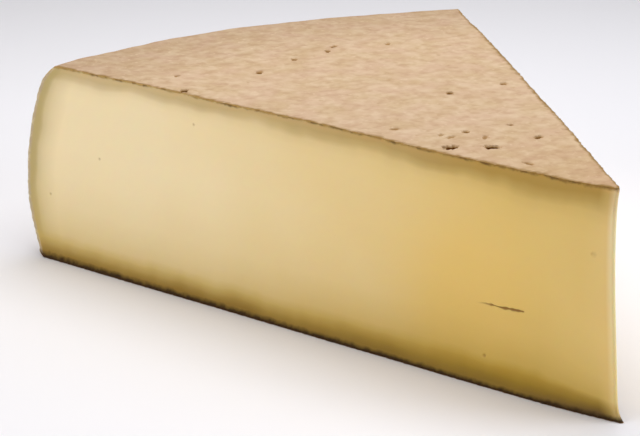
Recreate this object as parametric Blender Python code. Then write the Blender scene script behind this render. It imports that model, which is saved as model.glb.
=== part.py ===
"""A wedge of comte: one sector of a cheese wheel, cut from the middle out to the rind, flat side down.

Metres, +Z up. The origin is on the ground under the middle of the footprint. The wedge's thin nose
points to -Y and its bulging heel to +Y. Sizes in the constants are millimetres, angles are degrees.
"""

import math

import bmesh
import bpy
from mathutils import Vector, geometry, noise

MM = 0.001

# The wheel that the wedge was cut from
WHEEL_HEIGHT = 100.7
FLAT_RADIUS = 320.2  # the flat top ends here and rolls over into the shoulder
SHOULDER_RADIUS = 329.8
SHOULDER_DROP = 8.8
SHOULDER_SQUARENESS = 1.25  # 1 would be a straight bevel, and 2 is a round shoulder
BELLY_RADIUS = 342.7
BELLY_HEIGHT = 36.7
FOOT_RADIUS = 335.5
FOOT_ROUNDING = 4.0
RIM_DIP = 0.8  # the flat top sinks this much towards its rim
RIM_DIP_START = 0.75  # as a share of the flat radius
NOSE_LIFT = 1.0  # the thin nose curled up as it dried
NOSE_LIFT_REACH = 12.0

# The two knife cuts
WEDGE_ANGLE = 42.2
NOSE_ROUNDING = 1.3
NOSE_BEND = 3.1  # the left cut bends inwards near the nose, by this much where the cuts would meet
NOSE_BEND_REACH = 54.0
CUT_HOLLOW = 0.6  # both cut faces have shrunk in a little at mid height
TOP_LIP = 0.8
TOP_LIP_REACH = 4.4
RIGHT_BOW = 1.4  # the right cut wandered outwards on its way to the rind
RIGHT_LEAN = 3.0  # and it leans outwards towards the ground
FOOT_FLARE = 2.0  # the lowest few millimetres of the right cut were dragged out by the knife
LEFT_FLARE = 0.9
FLARE_REACH = 2.5

# Relief of the rind: (height, width) of the swells, of the lumps and of the grain
RELIEF = ((0.50, 38.0), (0.32, 13.0), (0.16, 5.5))
RELIEF_FADE = 20.0  # depth below the top over which the top's relief dies away on the cut faces
RELIEF_SEED = Vector((4.1, 7.7, 2.3))

# Pits in the top rind: (distance from the apex, angle from the left cut, length, width, depth)
PITS = (
    (92, 5.4, 7.6, 6.0, 1.8),
    (80, 13.9, 7.6, 6.0, 1.8),
    (105, 17.5, 3.6, 3.6, 1.2),
    (93, 18.5, 7.0, 3.2, 0.8),
    (105, 30.0, 3.6, 3.2, 1.0),
    (83, 32.1, 4.6, 4.4, 1.2),
    (53, 10.6, 7.6, 3.4, 0.9),
    (107, 10.9, 5.0, 3.0, 0.7),
    (102, 11.4, 6.4, 3.2, 0.8),
    (127, 6.9, 6.0, 3.4, 0.9),
    (163, 28.8, 5.2, 4.4, 1.1),
    (171, 39.0, 4.6, 4.0, 1.0),
    (256, 23.7, 4.6, 4.2, 1.1),
    (263, 25.3, 4.4, 4.2, 1.0),
    (257, 31.1, 4.0, 4.2, 1.0),
    (250, 18.7, 4.6, 4.4, 1.1),
    (240, 12.3, 4.4, 4.4, 1.2),
    (262, 4.9, 4.0, 3.8, 0.9),
    (240, 0.9, 5.4, 5.0, 1.6),
)

# A thin horizontal crack in the left cut
CRACK_FROM_NOSE = 58.7
CRACK_HEIGHT = 37.5
CRACK_LENGTH = 26.0
CRACK_OPENING = 0.9
CRACK_DEPTH = 2.5
CRACK_TILT = 2.0

# How finely the surface is divided
FOOT_STEPS = 3
BELLY_STEPS = 9
SHOULDER_STEPS = 4
CUT_STEPS = 40
HEEL_STEPS = 36
NOSE_STEPS = 6
TOP_SPACING = 5.6
SLIDE_REACH = 30.0  # the columns of a cut follow the nose's slant this far

HALF_ANGLE = math.radians(WEDGE_ANGLE / 2)
APEX = Vector((-1.03, -170.66))  # the wheel's axis, where the cuts would meet, from the footprint's middle
NOSE_TANGENT = NOSE_ROUNDING / math.tan(HALF_ANGLE)  # from the apex, along either straight cut
NOSE_TURN = math.atan(2 * NOSE_BEND / NOSE_BEND_REACH * (1 - NOSE_TANGENT / NOSE_BEND_REACH))


def clear_scene():
    for obj in list(bpy.data.objects):
        bpy.data.objects.remove(obj, do_unlink=True)


def material(name, colour, roughness):
    made = bpy.data.materials.new(name)
    made.use_nodes = True
    shader = made.node_tree.nodes["Principled BSDF"]
    shader.inputs["Base Color"].default_value = (*colour, 1.0)
    shader.inputs["Roughness"].default_value = roughness
    shader.inputs["Metallic"].default_value = 0.0
    return made


def smooth(value):
    value = min(max(value, 0.0), 1.0)
    return value * value * (3 - 2 * value)


def towards(angle):
    """Unit vector in plan, at an angle from the bisector, positive to the right (+X)."""
    return Vector((math.sin(angle), math.cos(angle)))


def relief(x, y, z):
    """How far the rind stands out here, in millimetres."""
    place = Vector((x, y, z))
    return sum(high * noise.noise(place / wide + RELIEF_SEED) for high, wide in RELIEF)


def top_height(radius):
    """Height of the wheel's top at this distance from its axis, before its relief."""
    share = (radius / FLAT_RADIUS - RIM_DIP_START) / (1 - RIM_DIP_START)
    return WHEEL_HEIGHT - RIM_DIP * smooth(share) + NOSE_LIFT * math.exp(-radius / NOSE_LIFT_REACH)


def heel_profile():
    """(radius, height) of the heel, from the ground up to the edge of the flat top."""
    points = []
    for i in range(FOOT_STEPS):
        turn = math.pi / 2 * i / FOOT_STEPS
        radius = FOOT_RADIUS - FOOT_ROUNDING * (1 - math.sin(turn))
        points.append((radius, FOOT_ROUNDING * (1 - math.cos(turn))))
    shoulder_height = top_height(FLAT_RADIUS) - SHOULDER_DROP
    for i in range(BELLY_STEPS):
        height = FOOT_ROUNDING + (shoulder_height - FOOT_ROUNDING) * i / BELLY_STEPS
        if height < BELLY_HEIGHT:
            end_radius, span = FOOT_RADIUS, BELLY_HEIGHT - FOOT_ROUNDING
        else:
            end_radius, span = SHOULDER_RADIUS, shoulder_height - BELLY_HEIGHT
        away = (height - BELLY_HEIGHT) / span
        points.append((BELLY_RADIUS - (BELLY_RADIUS - end_radius) * away * away, height))
    for i in range(SHOULDER_STEPS + 1):
        rise = math.sin(math.pi / 2 * i / SHOULDER_STEPS)
        radius = SHOULDER_RADIUS - (SHOULDER_RADIUS - FLAT_RADIUS) * rise**SHOULDER_SQUARENESS
        points.append((radius, shoulder_height + SHOULDER_DROP * rise))
    return points


def left_offset(distance, height):
    """How far the left cut stands out from its plane."""
    share = height / WHEEL_HEIGHT
    hollow = CUT_HOLLOW * 4 * share * (1 - share)
    lip = TOP_LIP / 2 * math.exp((height - WHEEL_HEIGHT) / TOP_LIP_REACH)
    flare = LEFT_FLARE * math.exp(-height / FLARE_REACH)
    bend = NOSE_BEND * max(0.0, 1 - distance / NOSE_BEND_REACH) ** 2
    return lip + flare - hollow - bend


def right_offset(distance, height):
    """How far the right cut stands out from its plane."""
    share = height / WHEEL_HEIGHT
    along = distance / BELLY_RADIUS
    hollow = CUT_HOLLOW * 4 * share * (1 - share)
    lip = TOP_LIP * math.exp((height - WHEEL_HEIGHT) / TOP_LIP_REACH)
    bow = RIGHT_BOW * 4 * along * (1 - along)
    lean = RIGHT_LEAN * smooth(1 - share)
    flare = FOOT_FLARE * math.exp(-height / FLARE_REACH)
    return lip + bow + lean + flare - hollow


def nose(height):
    """(centre, left slide, right slide) of the nose's rounding, which touches both cuts.

    A slide is how far along its cut the rounding starts after the place it would have between two straight,
    upright cuts.
    """
    right_normal = towards(HALF_ANGLE + math.pi / 2)
    centre = towards(-HALF_ANGLE) * NOSE_TANGENT
    centre += towards(-HALF_ANGLE - math.pi / 2) * left_offset(NOSE_TANGENT, height)
    centre -= towards(-HALF_ANGLE - NOSE_TURN - math.pi / 2) * NOSE_ROUNDING
    gap = right_offset(NOSE_TANGENT, height) - NOSE_ROUNDING - centre.dot(right_normal)
    bent_cut = towards(-HALF_ANGLE - NOSE_TURN)
    left_slide = gap / bent_cut.dot(right_normal)
    centre += bent_cut * left_slide
    right_slide = centre.dot(towards(HALF_ANGLE)) - NOSE_TANGENT
    return APEX + centre, left_slide, right_slide


def ring(radius, height):
    """The wedge's outline at one level, as (x, y, distance from the apex), anticlockwise from the nose."""
    right_normal = towards(HALF_ANGLE + math.pi / 2)
    left_normal = towards(-HALF_ANGLE - math.pi / 2)
    nose_centre, left_slide, right_slide = nose(height)

    def cut_distances(slide):
        for i in range(CUT_STEPS):
            distance = NOSE_TANGENT + (radius - NOSE_TANGENT) * i / CUT_STEPS
            yield distance + slide * smooth(1 - (distance - NOSE_TANGENT) / SLIDE_REACH)

    points = []
    for distance in cut_distances(right_slide):
        offset = right_normal * right_offset(distance, height)
        points.append((APEX + towards(HALF_ANGLE) * distance + offset, distance))
    right_end = HALF_ANGLE + right_offset(radius, height) / radius
    left_end = HALF_ANGLE + left_offset(radius, height) / radius
    for i in range(HEEL_STEPS + 1):
        angle = right_end - (right_end + left_end) * i / HEEL_STEPS
        points.append((APEX + towards(angle) * radius, radius))
    for distance in reversed(list(cut_distances(left_slide))):
        offset = left_normal * left_offset(distance, height)
        points.append((APEX + towards(-HALF_ANGLE) * distance + offset, distance))
    first = -(HALF_ANGLE + NOSE_TURN + math.pi / 2)
    last = HALF_ANGLE + math.pi / 2 - 2 * math.pi
    for i in range(1, NOSE_STEPS):
        angle = first + (last - first) * i / NOSE_STEPS
        place = nose_centre + towards(angle) * NOSE_ROUNDING
        points.append((place, (place - APEX).length))
    return points


def wall_point(x, y, distance, height, is_heel):
    """A point of the wall in metres, with the heel's relief pushed out and the top's pushed up."""
    lift = height / top_height(FLAT_RADIUS) * top_height(min(distance, FLAT_RADIUS))
    near_top = smooth(1 - (WHEEL_HEIGHT - lift) / RELIEF_FADE)
    place = Vector((x, y, lift + relief(x, y, WHEEL_HEIGHT) * near_top))
    if is_heel:
        above_foot = smooth(height / FOOT_ROUNDING / 2)
        outwards = (Vector((x, y)) - APEX).normalized()
        push = relief(x, y, height) * above_foot * (1 - near_top / 2)
        place += Vector((*outwards, 0.0)) * push
    return place * MM


def fill_top(mesh, rim):
    """Triangles over the flat top, near-equal in size, with the relief of the rind."""
    outline = [Vector(vert.co.xy) / MM for vert in rim]
    row_height = TOP_SPACING * math.sqrt(3) / 2
    margin = TOP_SPACING * 0.6
    lattice = []
    for row in range(int(FLAT_RADIUS / row_height)):
        y = row * row_height
        half_width = (y * math.sin(HALF_ANGLE) - margin) / math.cos(HALF_ANGLE)
        left_bend = NOSE_BEND * max(0.0, 1 - y / NOSE_BEND_REACH) ** 2
        count = int(half_width / TOP_SPACING) + 1
        for column in range(-count, count + 1):
            x = (column + 0.5 * (row % 2)) * TOP_SPACING
            if left_bend - half_width < x < half_width and math.hypot(x, y) < FLAT_RADIUS - margin:
                lattice.append(APEX + Vector((x, y)))
    edges = [(i, (i + 1) % len(rim)) for i in range(len(rim))]
    inner_only = 1
    coords, _, faces, origins, _, _ = geometry.delaunay_2d_cdt(
        outline + lattice, edges, [], inner_only, 1e-5
    )
    verts = []
    for place, origin in zip(coords, origins):
        if origin and min(origin) < len(rim):
            verts.append(rim[min(origin)])
        else:
            height = top_height((place - APEX).length)
            height += relief(place.x, place.y, WHEEL_HEIGHT)
            verts.append(mesh.verts.new(Vector((*place, height)) * MM))
    return [mesh.faces.new([verts[i] for i in face]) for face in faces]


def wedge_body(paste, rind):
    """The whole wedge as one closed mesh: levels of outline, a flat underside and the top."""
    mesh = bmesh.new()
    heel = range(CUT_STEPS, CUT_STEPS + HEEL_STEPS + 1)
    levels = []
    for radius, height in heel_profile():
        outline = enumerate(ring(radius, height))
        places = [wall_point(*p, d, height, i in heel) for i, (p, d) in outline]
        levels.append([mesh.verts.new(place) for place in places])
    count = len(levels[0])
    rind_faces = [mesh.faces.new(list(reversed(levels[0])))]
    for low, high in zip(levels, levels[1:]):
        for i in range(count):
            j = (i + 1) % count
            face = mesh.faces.new((low[i], low[j], high[j], high[i]))
            if i in heel and j in heel:
                rind_faces.append(face)
    rind_faces += fill_top(mesh, levels[-1])
    for face in rind_faces:
        face.material_index = 1
    data = bpy.data.meshes.new("comte_wedge")
    mesh.to_mesh(data)
    mesh.free()
    data.materials.append(paste)
    data.materials.append(rind)
    data.shade_smooth()
    data.set_sharp_from_angle(angle=math.radians(38))
    obj = bpy.data.objects.new("comte_wedge", data)
    bpy.context.scene.collection.objects.link(obj)
    return obj


def cutter(collection, name, place, turn, size):
    """A small egg-shaped cutter, sizes in millimetres, that goes into the collection."""
    mesh = bmesh.new()
    bmesh.ops.create_icosphere(mesh, subdivisions=2, radius=0.5)
    bmesh.ops.scale(mesh, vec=Vector(size) * MM, verts=mesh.verts)
    data = bpy.data.meshes.new(name)
    mesh.to_mesh(data)
    mesh.free()
    obj = bpy.data.objects.new(name, data)
    obj.location = place
    obj.rotation_euler = turn
    obj.hide_render = True
    obj.display_type = "WIRE"
    collection.objects.link(obj)


def cut_pits(collection):
    for i, (distance, angle, length, width, depth) in enumerate(PITS):
        bearing = math.radians(angle) - HALF_ANGLE
        plan = APEX + towards(bearing) * distance
        height = top_height(distance) + relief(plan.x, plan.y, WHEEL_HEIGHT)
        place = Vector((*plan, height)) * MM
        size = (length, width, 2 * depth)
        cutter(collection, f"pit_{i:02d}", place, (0, 0, 2.4 * i), size)


def cut_crack(collection):
    """The crack: a thin lens that lies along the left cut and reaches into it."""
    plan = APEX + towards(-HALF_ANGLE) * CRACK_FROM_NOSE
    plan += towards(-HALF_ANGLE - math.pi / 2) * left_offset(CRACK_FROM_NOSE, CRACK_HEIGHT)
    place = Vector((*plan, CRACK_HEIGHT)) * MM
    size = (2 * CRACK_DEPTH, CRACK_LENGTH, CRACK_OPENING)
    cutter(collection, "crack", place, (math.radians(CRACK_TILT), 0, HALF_ANGLE), size)


def main():
    clear_scene()
    paste = material("comte_paste", (0.80, 0.62, 0.30), 0.45)
    rind = material("comte_rind", (0.56, 0.38, 0.23), 0.85)
    wedge = wedge_body(paste, rind)
    cutters = bpy.data.collections.new("cutters")
    bpy.context.scene.collection.children.link(cutters)
    cut_pits(cutters)
    cut_crack(cutters)
    boolean = wedge.modifiers.new("pits and crack", "BOOLEAN")
    boolean.operand_type = "COLLECTION"
    boolean.collection = cutters
    boolean.operation = "DIFFERENCE"
    boolean.solver = "EXACT"


main()
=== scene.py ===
"""The looks of a wedge of comte: one sector of the wheel, cut out to the rind and lying on its flat side.

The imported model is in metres, +Z up. Sizes here are millimetres until a mesh is made from them, and angles
are degrees. The wedge's thin nose points to -Y and its bulging heel to +Y.
"""

import math
import random

import bpy
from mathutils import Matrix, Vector, geometry, kdtree, noise


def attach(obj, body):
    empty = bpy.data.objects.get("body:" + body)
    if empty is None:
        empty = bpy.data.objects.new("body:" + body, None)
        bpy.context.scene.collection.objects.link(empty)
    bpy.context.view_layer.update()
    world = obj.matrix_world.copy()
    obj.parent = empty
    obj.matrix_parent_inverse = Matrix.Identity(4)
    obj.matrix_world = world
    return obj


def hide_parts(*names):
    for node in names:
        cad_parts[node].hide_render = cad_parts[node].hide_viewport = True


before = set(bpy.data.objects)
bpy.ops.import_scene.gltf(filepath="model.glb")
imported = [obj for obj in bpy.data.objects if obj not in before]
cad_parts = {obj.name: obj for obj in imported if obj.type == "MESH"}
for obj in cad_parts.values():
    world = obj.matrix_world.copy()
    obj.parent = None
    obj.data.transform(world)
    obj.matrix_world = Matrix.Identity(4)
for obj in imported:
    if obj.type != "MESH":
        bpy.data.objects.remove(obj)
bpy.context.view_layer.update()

# ------------------------------------------------------------------------------------------------------
# The wedge. Comte is a pressed cooked cheese: its curd sets in a round hoop, and the wheel then ripens for
# months on boards while its skin is rubbed with brine. The wheel is a drum with a bulging side, and two
# strokes of a long knife take the wedge out of it, from the middle to the rind.

MM = 0.001
WHEEL_HEIGHT = 100.7
FLAT_RADIUS = 320.2  # the flat top ends here and rolls over into the shoulder
SHOULDER_RADIUS = 329.8
SHOULDER_DROP = 8.8
SHOULDER_SQUARENESS = 1.25  # 1 would be a straight bevel, and 2 is a round shoulder
BELLY_RADIUS = 342.7
BELLY_HEIGHT = 36.7
FOOT_RADIUS = 335.5
FOOT_ROUNDING = 4.0
RIM_DIP = 0.8  # the flat top sinks this much towards its rim
RIM_DIP_START = 0.75  # as a share of the flat radius
NOSE_LIFT = 1.0  # the thin nose curled up as it dried
NOSE_LIFT_REACH = 12.0
WEDGE_ANGLE = 42.2
NOSE_ROUNDING = 1.3

HALF_ANGLE = math.radians(WEDGE_ANGLE / 2)
APEX = Vector((-1.03, -170.66))  # where the two cuts would meet, from the middle of the footprint
NOSE_TANGENT = NOSE_ROUNDING / math.tan(HALF_ANGLE)  # from the apex, along either straight cut
LEFT, RIGHT = -1, 1


def soft_step(value):
    value = min(max(value, 0.0), 1.0)
    return value * value * (3 - 2 * value)


def towards(angle):
    """Unit vector in plan, at an angle from the bisector, positive to the right (+X)."""
    return Vector((math.sin(angle), math.cos(angle)))


def top_height(radius):
    """Height of the wheel's top at this distance from its axis."""
    share = (radius / FLAT_RADIUS - RIM_DIP_START) / (1 - RIM_DIP_START)
    lift = NOSE_LIFT * math.exp(-radius / NOSE_LIFT_REACH)
    return WHEEL_HEIGHT - RIM_DIP * soft_step(share) + lift


EDGE_HEIGHT = top_height(FLAT_RADIUS)
SHOULDER_HEIGHT = EDGE_HEIGHT - SHOULDER_DROP


def heel_radius(height):
    """Radius of the wheel's side: a rounded foot, a bulging belly and a rolled shoulder."""
    if height < FOOT_ROUNDING:
        drop = 1 - height / FOOT_ROUNDING
        return FOOT_RADIUS - FOOT_ROUNDING * (1 - math.sqrt(1 - drop * drop))
    if height > SHOULDER_HEIGHT:
        rise = min((height - SHOULDER_HEIGHT) / SHOULDER_DROP, 1.0)
        return SHOULDER_RADIUS - (SHOULDER_RADIUS - FLAT_RADIUS) * rise**SHOULDER_SQUARENESS
    if height < BELLY_HEIGHT:
        end_radius, span = FOOT_RADIUS, BELLY_HEIGHT - FOOT_ROUNDING
    else:
        end_radius, span = SHOULDER_RADIUS, SHOULDER_HEIGHT - BELLY_HEIGHT
    away = (height - BELLY_HEIGHT) / span
    return BELLY_RADIUS - (BELLY_RADIUS - end_radius) * away * away


# The rind's own relief: brushed and dried skin, swollen over the curd, with lumps and a coarse grain.
RELIEF = ((0.50, 38.0), (0.36, 13.0), (0.14, 7.0))  # height and width of the swells, lumps and grain
RELIEF_FADE = 20.0  # how far into a cut face the rind's swells still show
RELIEF_SEED = Vector((4.1, 7.7, 2.3))


def relief(x, y, z):
    """How far the rind stands out here."""
    place = Vector((x, y, z))
    return sum(high * noise.noise(place / wide + RELIEF_SEED) for high, wide in RELIEF)


# Pits that mites and the brush have opened in the top: distance from the apex, angle from the left cut,
# length, width, depth, and the turn of the long axis from +X. The small ones lie anywhere.
PITS = (
    (92, 5.4, 7.6, 6.0, 1.8, 0),
    (80, 13.9, 7.6, 6.0, 1.8, 138),
    (105, 17.5, 5.4, 3.4, 1.1, 60),
    (93, 18.5, 7.0, 3.2, 0.8, 52),
    (105, 30.0, 3.6, 3.0, 1.0, 190),
    (83, 32.1, 5.4, 3.8, 1.1, 20),
    (53, 10.6, 7.6, 3.4, 0.9, 105),
    (107, 10.9, 5.0, 3.0, 0.7, 243),
    (102, 11.4, 6.4, 3.2, 0.8, 20),
    (127, 6.9, 6.0, 3.4, 0.9, 158),
    (163, 28.8, 5.2, 4.0, 1.2, 70),
    (171, 39.0, 4.6, 4.0, 1.0, 73),
    (256, 23.7, 6.4, 3.0, 1.0, 60),
    (263, 25.3, 6.4, 3.4, 1.0, 30),
    (257, 31.1, 5.0, 3.0, 0.8, 50),
    (250, 18.7, 6.4, 3.2, 0.95, 55),
    (240, 12.3, 7.0, 3.2, 1.05, 48),
    (262, 4.9, 4.0, 3.4, 0.9, 60),
    (240, 0.9, 6.4, 4.0, 1.6, 50),
)
DARKEST_PIT = 1.5  # a pit this deep is painted dark to its floor, partly its stain and partly painted shade
PIT_RAGGEDNESS = 0.5  # as a share of the pit's own size
PIT_RAG_LENGTH = 1.7
PIT_DARKENING = (1.1, 0.6)  # the painted brown and shade start outside the pit and are full inside it, as shares of its size
SMALL_PITS = 110
SMALL_PIT_SPREAD = 0.97  # of the half angle
SMALL_PIT_SIZES = (1.0, 2.6)
SMALL_PIT_ROUNDNESS = (0.5, 1.0)
SMALL_PIT_DEPTH = 0.35
SMALL_PIT_DEPTHS = (0.5, 1.2)  # as shares of that depth

draw = random.Random(7)
pits = []
for distance, angle, length, width, depth, turn in PITS:
    middle = APEX + towards(math.radians(angle) - HALF_ANGLE) * distance
    pits.append((middle, length / 2, width / 2, math.radians(turn), depth))
for _ in range(SMALL_PITS):
    distance = FLAT_RADIUS * math.sqrt(draw.random())
    middle = APEX + towards(HALF_ANGLE * draw.uniform(-SMALL_PIT_SPREAD, SMALL_PIT_SPREAD)) * distance
    size = draw.uniform(*SMALL_PIT_SIZES)
    shape = (size / 2, size / 2 * draw.uniform(*SMALL_PIT_ROUNDNESS), draw.uniform(0, math.pi))
    pits.append((middle, *shape, SMALL_PIT_DEPTH * draw.uniform(*SMALL_PIT_DEPTHS)))
PIT_REACH = max(pit[1] for pit in pits) * 1.5  # with its ragged outline and its stain
pit_finder = kdtree.KDTree(len(pits))
for i, pit in enumerate(pits):
    pit_finder.insert(pit[0].to_3d(), i)
pit_finder.balance()


def pit_at(plan):
    """(depth, darkness) of the pits at a point of the top."""
    depth = darkness = 0.0
    for _, i, _ in pit_finder.find_range(plan.to_3d(), PIT_REACH):
        middle, half_length, half_width, turn, full_depth = pits[i]
        away = plan - middle
        along = (away.x * math.cos(turn) + away.y * math.sin(turn)) / half_length
        across = (away.y * math.cos(turn) - away.x * math.sin(turn)) / half_width
        ragged = PIT_RAGGEDNESS * noise.noise((plan / PIT_RAG_LENGTH).to_3d())
        share = math.hypot(along, across) + ragged
        depth = max(depth, full_depth * math.sqrt(max(0.0, 1 - share * share)))
        stain_and_shade = soft_step((PIT_DARKENING[0] - share) / (PIT_DARKENING[0] - PIT_DARKENING[1]))
        # Painted shade as well as stain: the deeper the pit, the darker it is painted.
        darkness = max(darkness, stain_and_shade * full_depth / DARKEST_PIT)
    return depth, min(darkness, 1.0)


# The two cuts. The knife wandered a little, the faces shrank at mid height as they dried, and the last
# millimetres were dragged out as the blade broke through at the bottom.
CUT_HOLLOW = 0.6
TOP_LIP = {LEFT: 0.4, RIGHT: 0.8}
TOP_LIP_REACH = 4.4
RIGHT_BOW = 1.4
RIGHT_LEAN = 3.0
NOSE_BEND = 3.1  # the left cut bends inwards near the nose, by this much where the cuts would meet
NOSE_BEND_REACH = 54.0
NOSE_TURN = math.atan(2 * NOSE_BEND / NOSE_BEND_REACH * (1 - NOSE_TANGENT / NOSE_BEND_REACH))
SLIDE_REACH = 30.0  # the columns of a cut follow the nose's slant this far
FOOT_FLARE = {LEFT: 0.9, RIGHT: 2.0}
FLARE_REACH = 2.5
WAVE = 0.22  # low waves that the long blade left
WAVE_LENGTH = 34.0
CUTS_APART = 40.0  # keeps the waves and crumbs of the two cuts from being alike
CRUMBLE = 0.5  # the dry rind breaks along the edge instead of cutting clean
CRUMBLE_SIZE = 1.9
CRUMBLE_REACH = 1.1
CRUMBLE_LOSS = 0.3  # more of the edge has come away than stands out
CLEAN_EDGE = 2.2  # the right cut broke the rind this much less

# A crack in the left cut, a row of short tears along one line that thickens towards the nose.
CRACK_ENDS = ((71.7, 37.0), (45.7, 38.2))  # (distance from the apex, height)
CRACK_OPENING = 1.8
CRACK_DEPTH = 0.45
CRACK_WANDER = 0.35
CRACK_WANDER_LENGTH = 3.3
TEAR_LENGTH = 1.8
TEAR_OPENING = (0.8, 0.7)  # of the opening: the middle value, and how much the tears differ from it
FAR_OPENING = 0.4  # of the opening, at the end away from the nose
FAR_END, NEAR_END = 2.5, 14  # how suddenly the crack starts at each end

# Pinholes in the paste: the cut, the distance from the apex, the height and the width.
PINHOLES = (
    (LEFT, 14.5, 70.1, 1.5),
    (LEFT, 65.8, 13.8, 1.7),
    (LEFT, 231.3, 86.1, 1.2),
    (LEFT, 326.9, 33.7, 1.3),
    (LEFT, 292.7, 58.1, 1.4),
    (RIGHT, 41.0, 58.0, 1.4),
    (RIGHT, 118.0, 24.0, 1.6),
    (RIGHT, 203.0, 71.0, 1.3),
    (RIGHT, 287.0, 40.0, 1.7),
)
PINHOLE_DEPTH = 0.5
PINHOLE_DARKENING = (1.3, 0.5)  # the painted brown and shade start outside the hole and are full inside it, as shares of its width
PINHOLE_DARKNESS = 0.4


def crack_share(distance, height):
    """0 outside the crack, rising to 1 along its middle."""
    (far, far_height), (near, near_height) = CRACK_ENDS
    along = (far - distance) / (far - near)
    if not 0 < along < 1:
        return 0.0
    middle = far_height + (near_height - far_height) * along
    middle += CRACK_WANDER * noise.noise(Vector((distance / CRACK_WANDER_LENGTH, 0.5, 0.5)))
    tears = TEAR_OPENING[0] + TEAR_OPENING[1] * noise.noise(Vector((distance / TEAR_LENGTH, 7.5, 0.5)))
    opening = CRACK_OPENING * tears * (FAR_OPENING + (1 - FAR_OPENING) * along)
    opening *= soft_step((1 - along) * NEAR_END)
    away = abs(height - middle) / max(opening / 2, 0.01)
    return math.sqrt(max(0.0, 1 - away * away)) * soft_step(along * FAR_END)


def hole_at(side, distance, height):
    """(depth, darkness) of the crack and the pinholes at a point of a cut."""
    depth = darkness = 0.0
    for hole_side, hole_distance, hole_height, width in PINHOLES:
        share = math.hypot(distance - hole_distance, height - hole_height) / (width / 2)
        if side == hole_side and share < PINHOLE_DARKENING[0]:
            depth = PINHOLE_DEPTH * math.sqrt(max(0.0, 1 - share * share))
            stain_and_shade = soft_step((PINHOLE_DARKENING[0] - share) / (PINHOLE_DARKENING[0] - PINHOLE_DARKENING[1]))
            darkness = PINHOLE_DARKNESS * stain_and_shade
    if side == LEFT:
        share = crack_share(distance, height)
        depth = max(depth, CRACK_DEPTH * share)
        darkness = max(darkness, share)
    return depth, darkness


def rind_depth(distance, height):
    """How far a point of a cut lies inside the rind of the top or of the heel."""
    return min(EDGE_HEIGHT - height, heel_radius(height) - distance)


def cut_offset(side, distance, height):
    """How far a cut stands out from its plane."""
    share = height / WHEEL_HEIGHT
    offset = FOOT_FLARE[side] * math.exp(-height / FLARE_REACH)
    offset += TOP_LIP[side] * math.exp((height - WHEEL_HEIGHT) / TOP_LIP_REACH)
    offset -= CUT_HOLLOW * 4 * share * (1 - share)
    if side == RIGHT:
        along = distance / BELLY_RADIUS
        offset += RIGHT_BOW * 4 * along * (1 - along) + RIGHT_LEAN * soft_step(1 - share)
    else:
        offset -= NOSE_BEND * max(0.0, 1 - distance / NOSE_BEND_REACH) ** 2
    place = Vector((distance, height, CUTS_APART * side))
    offset += WAVE * noise.noise(place / WAVE_LENGTH)
    edge = min(rind_depth(distance, height), height)
    broken = noise.noise(place / CRUMBLE_SIZE) - CRUMBLE_LOSS
    return offset + CRUMBLE * broken * math.exp(-max(edge, 0.0) / CRUMBLE_REACH)


def settle(plan, distance, height):
    """Puts a point of the wedge's side where the top's swells and the heel's leave it."""
    lift = height / EDGE_HEIGHT * top_height(min(distance, FLAT_RADIUS))
    near_top = soft_step(1 - (WHEEL_HEIGHT - lift) / RELIEF_FADE)
    near_heel = soft_step(1 - (heel_radius(height) - distance) / RELIEF_FADE)
    above_foot = soft_step(height / FOOT_ROUNDING / 2)
    outwards = (plan - APEX).normalized()
    swell = relief(*plan, height) * above_foot * (1 - near_top / 2) if near_heel else 0.0
    plan = plan + outwards * swell * near_heel
    return Vector((*plan, lift + relief(*plan, WHEEL_HEIGHT) * near_top))


def nose_at(height):
    """(centre, slides) of the nose's rounding, which touches both cuts at this height.

    A slide is how far along its cut the rounding starts after the place it would have between two straight,
    upright cuts.
    """
    right_normal = towards(HALF_ANGLE + math.pi / 2)
    centre = towards(-HALF_ANGLE) * NOSE_TANGENT
    centre += towards(-HALF_ANGLE - math.pi / 2) * cut_offset(LEFT, NOSE_TANGENT, height)
    centre -= towards(-HALF_ANGLE - NOSE_TURN - math.pi / 2) * NOSE_ROUNDING
    gap = cut_offset(RIGHT, NOSE_TANGENT, height) - NOSE_ROUNDING - centre.dot(right_normal)
    bent_cut = towards(-HALF_ANGLE - NOSE_TURN)
    left_slide = gap / bent_cut.dot(right_normal)
    centre += bent_cut * left_slide
    right_slide = centre.dot(towards(HALF_ANGLE)) - NOSE_TANGENT
    return APEX + centre, {LEFT: left_slide, RIGHT: right_slide}


def slid(side, distance, height):
    """A distance along a cut, once the columns near the nose follow its slant."""
    if distance > NOSE_TANGENT + SLIDE_REACH:
        return distance
    fade = soft_step(1 - (distance - NOSE_TANGENT) / SLIDE_REACH)
    return distance + nose_at(height)[1][side] * fade


def cut_place(side, distance, height):
    normal = towards(side * (HALF_ANGLE + math.pi / 2))
    plan = APEX + towards(side * HALF_ANGLE) * distance
    plan += normal * (cut_offset(side, distance, height) - hole_at(side, distance, height)[0])
    return settle(plan, distance, height)


def heel_place(turn, height):
    """A point of the heel; turn goes from 0 at the right cut to 1 at the left cut."""
    radius = heel_radius(height)
    right_end = HALF_ANGLE + cut_offset(RIGHT, radius, height) / radius
    left_end = HALF_ANGLE + cut_offset(LEFT, radius, height) / radius
    plan = APEX + towards(right_end - (right_end + left_end) * turn) * radius
    return settle(plan, radius, height)


def nose_place(turn, height):
    """A point of the rounded nose; turn goes from 0 at the left cut to 1 at the right cut."""
    first = -(HALF_ANGLE + NOSE_TURN + math.pi / 2)
    last = HALF_ANGLE + math.pi / 2 - 2 * math.pi
    plan = nose_at(height)[0] + towards(first + (last - first) * turn) * NOSE_ROUNDING
    return settle(plan, (plan - APEX).length, height)


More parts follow.
